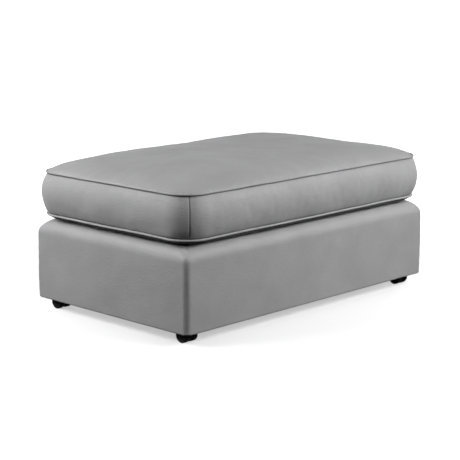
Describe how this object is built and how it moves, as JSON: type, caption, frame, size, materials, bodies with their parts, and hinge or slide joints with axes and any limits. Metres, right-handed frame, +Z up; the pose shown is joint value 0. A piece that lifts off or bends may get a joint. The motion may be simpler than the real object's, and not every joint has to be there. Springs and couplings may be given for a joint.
{
  "type": "ottoman coffee table",
  "caption": "Rectangular leather ottoman coffee table: soft-edged box base on swivel castors, with a loose crowned box cushion that has welted seams and a zipped cover.",
  "frame": {"origin": "on the floor, under the middle of the ottoman's plan", "axes": "+X along the length, towards the end nearest the camera's right; +Y to the back, where the zip is; +Z up"},
  "size_m": [1.0172, 0.6292, 0.44],
  "materials": {
    "leather": "fine-grained, mid grey, soft satin",
    "plywood": "birch plywood, unfinished",
    "hardboard": "brown hardboard",
    "zinc_steel": "zinc plated",
    "spring_steel": "dark oiled spring steel",
    "foam": "open-cell polyurethane foam, cream",
    "polyester_fibre": "white polyester fibre",
    "platform_cloth": "dark woven platform cloth",
    "dust_cloth": "black non-woven cloth",
    "zip_tape": "grey woven tape with a nylon coil",
    "zip_metal": "dark nickel",
    "castor_plastic": "black moulded nylon",
    "castor_steel": "bright zinc plated",
    "socket_steel": "pressed steel, zinc plated"
  },
  "bodies": {
    "base": {"back_rail": "plywood", "castor_socket_back_left": "socket_steel", "castor_socket_back_right": "socket_steel", "castor_socket_front_left": "socket_steel", "castor_socket_front_right": "socket_steel", "centre_rail": "plywood", "corner_block_back_left": "plywood", "corner_block_back_right": "plywood", "corner_block_front_left": "plywood", "corner_block_front_right": "plywood", "cover_back": "leather", "cover_front": "leather", "cover_left": "leather", "cover_right": "leather", "deck_cloth": "platform_cloth", "deck_pad": "foam", "dust_cover": "dust_cloth", "edge_roll": "foam", "frame_screws": "zinc_steel", "front_rail": "plywood", "left_rail": "plywood", "right_rail": "plywood", "side_boards": "hardboard", "side_padding": "foam", "sinuous_springs": "spring_steel", "spring_clips": "spring_steel"},
    "cushion": {"bottom_welt": "leather", "boxing_back_lower": "leather", "boxing_back_upper": "leather", "boxing_front": "leather", "boxing_left": "leather", "boxing_right": "leather", "cushion_bottom_panel": "platform_cloth", "cushion_core": "foam", "cushion_top_panel": "leather", "cushion_wrap": "polyester_fibre", "top_welt": "leather", "zip_chain": "zip_tape"},
    "zip_slider": {"zip_slider": "zip_metal"},
    "castor_front_left": {"castor_housing_front_left": "castor_plastic", "castor_stem_front_left": "castor_steel", "castor_axle_front_left": "castor_steel"},
    "wheel_outer_front_left": {"wheel_outer_front_left": "castor_plastic"},
    "wheel_inner_front_left": {"wheel_inner_front_left": "castor_plastic"},
    "castor_front_right": {"castor_housing_front_right": "castor_plastic", "castor_stem_front_right": "castor_steel", "castor_axle_front_right": "castor_steel"},
    "wheel_outer_front_right": {"wheel_outer_front_right": "castor_plastic"},
    "wheel_inner_front_right": {"wheel_inner_front_right": "castor_plastic"},
    "castor_back_left": {"castor_housing_back_left": "castor_plastic", "castor_stem_back_left": "castor_steel", "castor_axle_back_left": "castor_steel"},
    "wheel_outer_back_left": {"wheel_outer_back_left": "castor_plastic"},
    "wheel_inner_back_left": {"wheel_inner_back_left": "castor_plastic"},
    "castor_back_right": {"castor_housing_back_right": "castor_plastic", "castor_stem_back_right": "castor_steel", "castor_axle_back_right": "castor_steel"},
    "wheel_outer_back_right": {"wheel_outer_back_right": "castor_plastic"},
    "wheel_inner_back_right": {"wheel_inner_back_right": "castor_plastic"}
  },
  "joints": [
    {"name": "cushion_lift", "type": "slide", "parent": "base", "child": "cushion", "axis": [0, 0, 1], "range_m": [0, 0.2]},
    {"name": "zip_slide", "type": "slide", "parent": "cushion", "child": "zip_slider", "axis": [-1, 0, 0], "range_m": [0, 0.767]},
    {"name": "swivel_front_left", "type": "hinge", "parent": "base", "child": "castor_front_left", "pos_m": [-0.451, -0.242, 0.05], "axis": [0, 0, 1], "continuous": true},
    {"name": "roll_outer_front_left", "type": "hinge", "parent": "castor_front_left", "child": "wheel_outer_front_left", "pos_m": [-0.465, -0.255, 0.02], "axis": [1, 0, 0], "continuous": true},
    {"name": "roll_inner_front_left", "type": "hinge", "parent": "castor_front_left", "child": "wheel_inner_front_left", "pos_m": [-0.437, -0.255, 0.02], "axis": [1, 0, 0], "continuous": true},
    {"name": "swivel_front_right", "type": "hinge", "parent": "base", "child": "castor_front_right", "pos_m": [0.451, -0.242, 0.05], "axis": [0, 0, 1], "continuous": true},
    {"name": "roll_outer_front_right", "type": "hinge", "parent": "castor_front_right", "child": "wheel_outer_front_right", "pos_m": [0.465, -0.255, 0.02], "axis": [1, 0, 0], "continuous": true},
    {"name": "roll_inner_front_right", "type": "hinge", "parent": "castor_front_right", "child": "wheel_inner_front_right", "pos_m": [0.437, -0.255, 0.02], "axis": [1, 0, 0], "continuous": true},
    {"name": "swivel_back_left", "type": "hinge", "parent": "base", "child": "castor_back_left", "pos_m": [-0.451, 0.242, 0.05], "axis": [0, 0, 1], "continuous": true},
    {"name": "roll_outer_back_left", "type": "hinge", "parent": "castor_back_left", "child": "wheel_outer_back_left", "pos_m": [-0.465, 0.255, 0.02], "axis": [1, 0, 0], "continuous": true},
    {"name": "roll_inner_back_left", "type": "hinge", "parent": "castor_back_left", "child": "wheel_inner_back_left", "pos_m": [-0.437, 0.255, 0.02], "axis": [1, 0, 0], "continuous": true},
    {"name": "swivel_back_right", "type": "hinge", "parent": "base", "child": "castor_back_right", "pos_m": [0.451, 0.242, 0.05], "axis": [0, 0, 1], "continuous": true},
    {"name": "roll_outer_back_right", "type": "hinge", "parent": "castor_back_right", "child": "wheel_outer_back_right", "pos_m": [0.465, 0.255, 0.02], "axis": [1, 0, 0], "continuous": true},
    {"name": "roll_inner_back_right", "type": "hinge", "parent": "castor_back_right", "child": "wheel_inner_back_right", "pos_m": [0.437, 0.255, 0.02], "axis": [1, 0, 0], "continuous": true}
  ]
}
